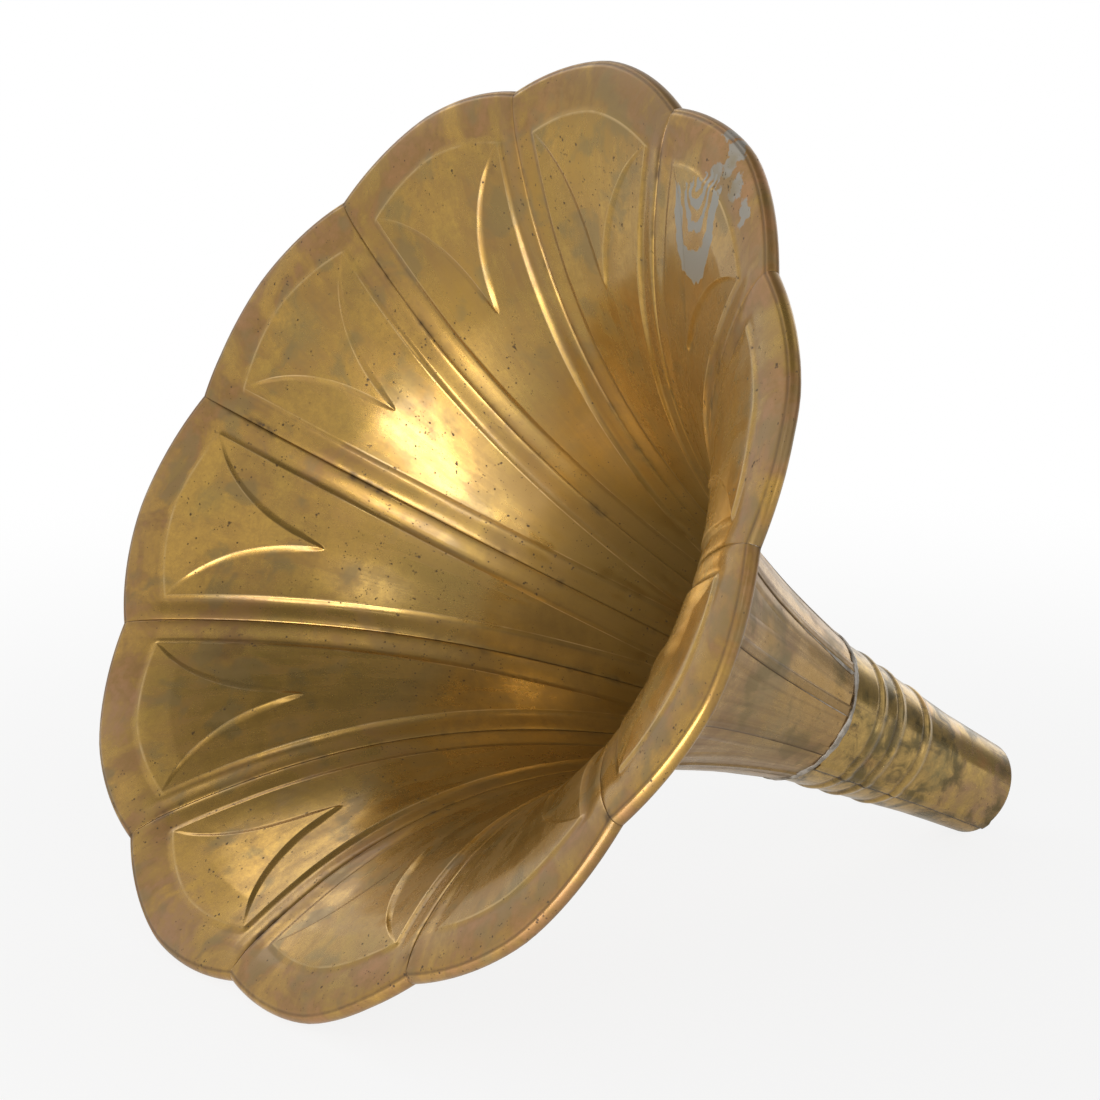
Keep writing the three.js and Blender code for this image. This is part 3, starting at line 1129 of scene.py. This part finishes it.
@dataclass(frozen=True)
class AgedBrass:
    """Lacquered brass that has tarnished unevenly, with painted shade deep in the throat and a painted
    highlight on its ridges.
    """

    name: str
    bright: Colour
    olive: Colour
    brown: Colour
    copper: Colour
    grime: Colour
    smooth: float = 0.2
    dull: float = 0.42
    tarnish: float = 0.5
    pits: float = 0.5
    lacquer: float = 0.3
    coat_rough: float = 0.12
    metal: float = 0.96
    patch_scale: float = 24
    marks: tuple[Marks, ...] = ()
    drip: Drip | None = None
    # painted shade: the colour deep in the throat
    deep_shade_colour: Colour = (0.35, 0.235, 0.07)
    # ridges rubbed bright, also a painted highlight along folds and bead crests
    rubbed_and_highlight: Colour = (0.82, 0.58, 0.27)
    smudge: Colour = (0.27, 0.195, 0.07)
    smudge_start: float = 0.53
    smudge_soft: float = 0.06
    smudged: float = 0.55
    cloud: Pattern = Pattern(6, 3, 0.6, 1.1, 0.6)
    broad: Pattern = Pattern(15, 2, 0.5, 2.2)
    grain: Pattern = Pattern(170, 3, 0.6, 3.3)
    specks: Pattern = Pattern(620, 1, 0.5, 1.7)
    clumps: Pattern = Pattern(13, 3, 0.6, 7.7)
    pit_sizes: Pattern = Pattern(230, 1, 0.5, 5.1)
    smears: Pattern = Pattern(42, 2, 0.5, 10.3)
    dents: Pattern = Pattern(30, 2, 0.5, 9.1)
    peel: Pattern = Pattern(240, 1, 0.5, 6.6)
    dent_depth: float = 0.08 * MM

    def pitting(self, finish: Finish, blotch: Value) -> Value:
        """Pits in loose clumps, with a few larger ones in the blotches.

        Args:
            finish: The material that they lie in.
            blotch: Noise that chooses where the larger ones are.

        Returns:
            The share of the pits' colour.
        """
        clump = finish.pattern(self.clumps).ramp(0.39, 0.58)
        size = ((finish.pattern(self.pit_sizes) - 0.47) * (clump * 1.1 + 0.3)).most(0.001)
        small = (finish.spots(300, size, 5.0) + finish.spots(560, size * 1.2, 8.0) * 0.8).clamp()
        return (small + finish.spots(90, 0.07, 2.0) * blotch.ramp(0.48, 0.56)).clamp() * self.pits

    def build(self, relief: Callable[[Finish], Wear]) -> Material:
        """Builds the material.

        Args:
            relief: Gives where age shows on the form.

        Returns:
            The material.
        """
        finish = Finish(self.name)
        wear = relief(finish)
        cloud = finish.pattern(self.cloud)
        blotch = finish.pattern(Pattern(self.patch_scale, 4, 0.62, 6.4, 0.8))
        fine = finish.pattern(self.grain)
        streaks = finish.streaks(19, 5, 2.6)
        olive = (cloud * 0.5 + finish.pattern(self.broad) * 0.5).ramp(0.47, 0.6)
        brown = ((cloud * 0.35 + blotch * 0.35 + streaks * 0.3).ramp(0.47, 0.6) * self.tarnish
                 + wear.worn * (blotch.ramp(0.38, 0.6) * 0.7 + 0.3)).clamp()
        copper = (blotch * 0.5 + cloud * 0.2 + fine * 0.3).ramp(0.5, 0.62) * (wear.worn * 0.9 + 0.05)
        copper = copper.clamp()
        pits = self.pitting(finish, blotch)
        mottle = (fine * 0.6 + finish.pattern(self.specks) * 0.4).ramp(0.36, 0.64)
        smear = blotch * 0.5 + finish.pattern(self.smears) * 0.5
        smudge = smear.ramp(self.smudge_start, self.smudge_start + self.smudge_soft) * self.smudged
        # rubbed wear on ridges, partly a painted highlight along the folds and bead crests
        rubbed_and_highlight = (wear.ridge_wear_and_highlight * blotch.ramp(0.36, 0.62) * 0.6).clamp()
        film = (wear.worn * 0.25 + brown * 0.6 + copper * 0.4 + mottle * 0.15 + wear.deep_dull_shade * 0.5
                + (blotch * 0.5 + streaks * 0.5).ramp(0.42, 0.64) * 0.4).clamp()

        # the last layer here is painted shade, darker deep in the throat
        layers = [(olive * 0.7, self.olive), (brown, self.brown), (copper, self.copper),
                  (mottle * 0.4, self.brown), (wear.deep_dull_shade * 0.8, self.deep_shade_colour)]
        layers += [(marks.mask(finish, blotch * 0.6 + fine * 0.4), marks.colour) for marks in self.marks]
        layers += [(smudge * (1 - wear.deep_dull_shade), self.smudge), (rubbed_and_highlight, self.rubbed_and_highlight),
                   ((wear.dirt * (fine * 0.9 + 0.3)).clamp(), self.grime), (pits, self.grime)]
        if self.drip:
            grey = self.drip.mask(finish)
            layers.append((grey, self.drip.colour))
            film = (film + grey * 1.2).clamp()
        colour = self.bright
        for mask, layer in layers:
            colour = finish.mix(mask, colour, layer)
        return finish.surface({
            "Base Color": colour,
            "Metallic": self.metal - (pits * 0.5 + wear.dirt * 0.3 + film * 0.25).clamp(),
            "Roughness": (film * (self.dull - self.smooth) + wear.dirt * 0.12 + pits * 0.2 + rubbed_and_highlight * 0.12
                          + self.smooth),
            "Coat Weight": (1 - pits - wear.dirt * 0.5 - film * 0.3).clamp() * self.lacquer,
            "Coat Roughness": self.coat_rough,
            "Normal": finish.bump(finish.pattern(self.dents) * 0.25 + finish.pattern(self.peel) * 0.03,
                                  self.dent_depth),
        })


@dataclass(frozen=True)
class SoftSolder:
    """Dull grey solder, run unevenly and tarnished, and stained away from a clean place if there is one."""

    name: str = "soft solder"
    fresh: Colour = (0.66, 0.61, 0.54)
    dark: Colour = (0.30, 0.25, 0.19)
    stained: Colour = (0.19, 0.13, 0.07)
    clean_place: Vector | None = None
    clean_reach: float = 75 * MM
    cloud: Pattern = Pattern(120, 4, 0.6, 1.9)
    grain: Pattern = Pattern(900, 3, 0.6, 2.8)

    def build(self) -> Material:
        """Builds the material.

        Returns:
            The material.
        """
        finish = Finish(self.name)
        cloud, fine = finish.pattern(self.cloud), finish.pattern(self.grain)
        colour = finish.mix(cloud.ramp(0.42, 0.66), self.fresh, self.dark)
        if self.clean_place:
            clean = finish.near(self.clean_place, self.clean_reach) + cloud * 0.5 - 0.35
            colour = finish.mix(clean.ramp(0.1, 0.35), self.stained, colour)
        return finish.surface({
            "Base Color": colour,
            "Metallic": 1 - cloud.ramp(0.45, 0.8) * 0.4,
            "Roughness": cloud * 0.3 + 0.3,
            "Normal": finish.bump(cloud * 0.6 + fine * 0.3, 0.3 * MM),
        })


def direction(azimuth: float, elevation: float) -> Vector:
    """Unit vector towards an azimuth, 0 in front and a quarter turn at +X, and an elevation."""
    level = math.cos(elevation)
    return Vector((math.sin(azimuth) * level, -math.cos(azimuth) * level, math.sin(elevation)))


@dataclass(frozen=True)
class Studio:
    """Pale floor, white background, soft lamps and the photograph's camera.

    A softbox has its name, azimuth, distance, height, size and strength. A patch of the room has its
    azimuth, its elevation, where it begins and ends to fade, all in degrees, and what it adds to the light.
    """

    target: Vector = Vector((-0.02518764, -0.04634858, 0.20289516))
    azimuth: float = math.radians(54.191886)
    elevation: float = math.radians(11.843518)
    roll: float = math.radians(0.570037)
    distance: float = 1.751619
    lens: float = 104.366945
    sensor: float = 36
    lamp_aim: float = 0.2
    softboxes: tuple[tuple, ...] = (("low softbox", 31, 1.22, 0.17, (0.84, 0.34), 6.6),
                                    ("back softbox", 277, 1.5, 1.35, (1.0, 1.0), 0.95))
    patches: tuple[tuple[float, ...], ...] = ((162, 5, 8, 34, -0.75), (75, 32, 15, 42, -0.3),
                                              (205, 8, 8, 20, 0.9), (98, 12, 5, 14, 1.2),
                                              (54, 42, 2, 10, 3.4))
    room_strength: float = 0.7
    ceiling: tuple[float, float] = (0.62, 0.97)
    ceiling_strength: float = 0.16
    floor_white: float = 0.85
    floor_mirrored: float = 0.55
    floor_fade: tuple[float, float] = (0.35, 1.3)
    floor_lit: tuple[float, float, float] = (0.30, -0.667, 0)
    floor_lit_reach: float = 0.62
    floor_lit_strength: float = 4.6
    floor_size: float = 12.0
    floor_colour: Colour = (0.82, 0.82, 0.81)
    floor_rough: float = 0.7
    floor_specular: float = 0.2

    def place_camera(self) -> None:
        """Puts the camera where the photograph was taken."""
        data = bpy.data.cameras.new("camera")
        data.sensor_width = self.sensor
        data.lens = self.lens
        camera = add_object("camera", data)
        bpy.context.scene.camera = camera
        away = direction(self.azimuth, self.elevation)
        turn = (-away).to_track_quat("-Z", "Y").to_matrix().to_4x4() @ Matrix.Rotation(self.roll, 4, "Z")
        camera.matrix_world = Matrix.Translation(self.target + away * self.distance) @ turn

    def lamp(self, name: str, azimuth: float, distance: float, height: float, size: tuple[float, float],
             strength: float) -> None:
        """Adds a soft lamp that faces the horn.

        Args:
            name: The lamp's name.
            azimuth: Its place round the horn in degrees, 0 in front and 90 at +X.
            distance: How far away it stands.
            height: Height of its middle.
            size: Its width and height.
            strength: Brightness of its face, where 1 is white.
        """
        data = bpy.data.lights.new(name, "AREA")
        data.shape = "RECTANGLE"
        data.size, data.size_y = size
        data.energy = math.pi * size[0] * size[1] * strength
        lamp = add_object(name, data)
        lamp.visible_camera = False
        place = direction(math.radians(azimuth), 0) * distance + Vector((0, 0, height))
        aim = Vector((0, 0, self.lamp_aim)) - place
        lamp.matrix_world = Matrix.Translation(place) @ aim.to_track_quat("-Z", "Y").to_matrix().to_4x4()

    def toward(self, ray: Any, nodes: Nodes, azimuth: float, elevation: float, inner: float, outer: float
               ) -> Value:
        """A soft round patch of the room.

        Args:
            ray: The direction that is seen.
            nodes: The world's tree.
            azimuth: The patch's direction in degrees, 0 in front and 90 at +X.
            elevation: Its height in degrees.
            inner: Angle in degrees at which it begins to fade.
            outer: Angle in degrees at which it ends.

        Returns:
            1 in the patch and 0 outside it.
        """
        centre = tuple(direction(math.radians(azimuth), math.radians(elevation)))
        node = nodes.add("ShaderNodeVectorMath", {"operation": "DOT_PRODUCT"}, {0: ray, 1: centre})
        near, far = math.cos(math.radians(inner)), math.cos(math.radians(outer))
        return Value(nodes, node.outputs["Value"]).ramp(far, near).smooth()

    def light(self) -> None:
        """Adds the lamps, and a world that is white to the camera and dims overhead for the rest."""
        for softbox in self.softboxes:
            self.lamp(*softbox)
        world = bpy.data.worlds.new("studio")
        bpy.context.scene.world = world
        world.use_nodes = True
        nodes = Nodes(world.node_tree)
        world.node_tree.nodes.clear()
        path = nodes.add("ShaderNodeLightPath")
        seen = Value(nodes, path.outputs["Is Camera Ray"])
        ray = nodes.add("ShaderNodeTexCoord").outputs["Generated"]
        _, _, up = nodes.split(ray)
        overhead = up.ramp(*self.ceiling).smooth()
        room = self.room_strength - overhead * (self.room_strength - self.ceiling_strength)
        for azimuth, elevation, inner, outer, gain in self.patches:
            room = room * (1 + self.toward(ray, nodes, azimuth, elevation, inner, outer) * gain)
        back = nodes.add("ShaderNodeBackground", inputs={"Color": seen.most(room), "Strength": 1.0})
        nodes.add("ShaderNodeOutputWorld", inputs={0: back.outputs[0]})

    def lay_floor(self) -> None:
        """Lays the pale floor, which fades to the white background away from the horn, and glows brighter to
        reflections near the low softbox as a painted pool of light.
        """
        finish = Finish("pale floor")
        x, y, _ = finish.split(finish.here)
        far = (x * x + y * y).root().ramp(*self.floor_fade).smooth()
        rays = finish.add("ShaderNodeLightPath").outputs
        camera, glossy, transmission = (Value(finish, rays[name]) for name in (
            "Is Camera Ray", "Is Glossy Ray", "Is Transmission Ray"))
        white_share = (camera * (self.floor_white + far * (1 - self.floor_white))
                       + (glossy + transmission) * (far * 0.5 + 0.5) * self.floor_mirrored)
        pale = finish.add("ShaderNodeBsdfPrincipled", inputs={
            "Base Color": (*self.floor_colour, 1), "Roughness": self.floor_rough,
            "Specular IOR Level": self.floor_specular})
        # painted pool of light: the floor glows brighter to reflections near the low softbox
        lit = finish.near(Vector(self.floor_lit), self.floor_lit_reach)
        white = finish.add("ShaderNodeEmission", inputs={
            "Color": 1 + (1 - camera) * lit * self.floor_lit_strength, "Strength": 1.0})
        mixed = finish.add("ShaderNodeMixShader",
                           inputs={0: white_share.clamp(), 1: pale.outputs[0], 2: white.outputs[0]})
        finish.end(mixed)
        mesh = bpy.data.meshes.new("floor")
        half = self.floor_size / 2
        mesh.from_pydata([(-half, -half, 0), (half, -half, 0), (half, half, 0), (-half, half, 0)], [],
                         [(0, 1, 2, 3)])
        mesh.materials.append(finish.material)
        floor = add_object("floor", mesh)

    def build(self) -> None:
        """Sets the colour view, the camera, the lamps and the floor."""
        bpy.context.scene.view_settings.view_transform = "Standard"
        self.place_camera()
        self.light()
        self.lay_floor()


def inside_relief(finish: Finish) -> Wear:
    """Where age shows on the bell's inner face, with painted shade deep in the throat and a painted highlight
    along the ridges.

    Args:
        finish: The material, whose attributes are read.

    Returns:
        Its wear.
    """
    zone, seam = finish.attribute("rim"), finish.attribute("seam")
    grime = finish.pattern(Pattern(38, 3, 0.6, 3.9)).ramp(0.54, 0.66)
    dirt = (finish.attribute("crease") * 0.3 + finish.attribute("valley") * 0.25 + seam.ramp(0.84, 1) * 0.35
            + finish.attribute("edge") * 0.7 + seam.ramp(0, 0.6) * grime * 0.9)
    worn = finish.attribute("strip") * 0.3 + zone.ramp(0.1, 0.34) * 0.5 + zone.ramp(0.67, 0.75) * 0.35
    # painted shade: darker and duller deep in the throat, where shade falls
    deep_dull_shade = 1 - finish.attribute("reach").ramp(0.3, 0.68)
    return Wear(worn.clamp(), dirt, deep_dull_shade, finish.attribute("ridge_wear_and_highlight"))


def outside_relief(finish: Finish) -> Wear:
    """Where age shows on the bell's back.

    Args:
        finish: The material, whose attributes are read.

    Returns:
        Its wear.
    """
    dirt = finish.attribute("crease") * 0.2 + finish.attribute("seam").ramp(0.5, 1) * 0.3
    none = dirt * 0
    return Wear(finish.attribute("rim") * 0.5 + 0.15, dirt + finish.attribute("edge") * 0.6, none, none)


def neck_relief(finish: Finish) -> Wear:
    """Where age shows on the neck, with a painted highlight on the bead crests."""
    dirt = finish.attribute("groove") * 0.5 + finish.attribute("seam").ramp(0.1, 0.7) * 0.95
    return Wear(finish.attribute("end") * 0.5 + 0.35, dirt, dirt * 0, finish.attribute("crest") * 0.6)


def horn_placing(neck: Neck) -> Matrix:
    """Works out the horn's place from the record's mount at the neck's end.

    Args:
        neck: The neck, whose end carries the mount.

    Returns:
        From the horn's coordinates, with the mouth's centre at the origin, to the frame.
    """
    mount = next(mount for mount in frame["record"]["mounts"] if mount["name"] == "neck_end")
    axis = Vector(mount["axis"]).normalized()
    side = Vector((1, 0, 0))
    down = axis.cross(side)
    centre = Vector(mount["pos_m"]) + down * neck.mid_wall - axis * neck.length
    placing = Matrix((side, down, axis)).transposed().to_4x4()
    placing.translation = centre
    return placing


def main() -> None:
    """Builds the studio and every piece of the horn, in order."""
    logging.basicConfig(level=logging.INFO, format="%(message)s")
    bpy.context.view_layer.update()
    Studio().build()

    brass = AgedBrass("bell brass", bright=(0.64, 0.375, 0.075), olive=(0.48, 0.31, 0.065),
                      brown=(0.33, 0.18, 0.05), copper=(0.49, 0.24, 0.10), grime=(0.07, 0.04, 0.015),
                      smooth=0.15, dull=0.39, tarnish=0.75, pits=0.9, lacquer=0.55, marks=BELL_STAINS_AND_SHADE,
                      drip=Drip()).build(inside_relief)
    backs = AgedBrass("bell brass outside", bright=(0.62, 0.39, 0.14), olive=(0.49, 0.33, 0.12),
                      brown=(0.37, 0.22, 0.10), copper=(0.51, 0.285, 0.13), grime=(0.08, 0.05, 0.03),
                      smooth=0.2, dull=0.45, tarnish=0.8, pits=0.4, marks=BACK_STAINS).build(outside_relief)
    neck_brass = AgedBrass("neck brass", bright=(0.76, 0.50, 0.15), olive=(0.38, 0.285, 0.085),
                           brown=(0.27, 0.17, 0.065), copper=(0.62, 0.33, 0.12), grime=(0.06, 0.04, 0.02),
                           smooth=0.08, dull=0.32, tarnish=0.9, pits=0.4, patch_scale=58,
                           smudge=(0.16, 0.12, 0.04), smudge_start=0.485, smudge_soft=0.1, smudged=0.85,
                           marks=NECK_STAINS).build(neck_relief)
    solder = SoftSolder().build()
    seam_solder = SoftSolder("seam solder", clean_place=Vector((0.035, 0.111, 0.139))).build()

    neck = Neck()
    placing = horn_placing(neck)
    petal, seam = Petal(), SeamSolder()
    numbers = range(1, petal.flare.petals + 1)
    petal_form = petal.form(brass)
    for number in numbers:
        petal.build(number, petal_form, backs, placing)
    seam_form = seam.form(seam_solder)
    for number in numbers:
        seam.build(number, seam_form, placing)
    neck.build(neck_brass, brass, solder, seam_solder, placing)


if __name__ == "__main__":
    main()
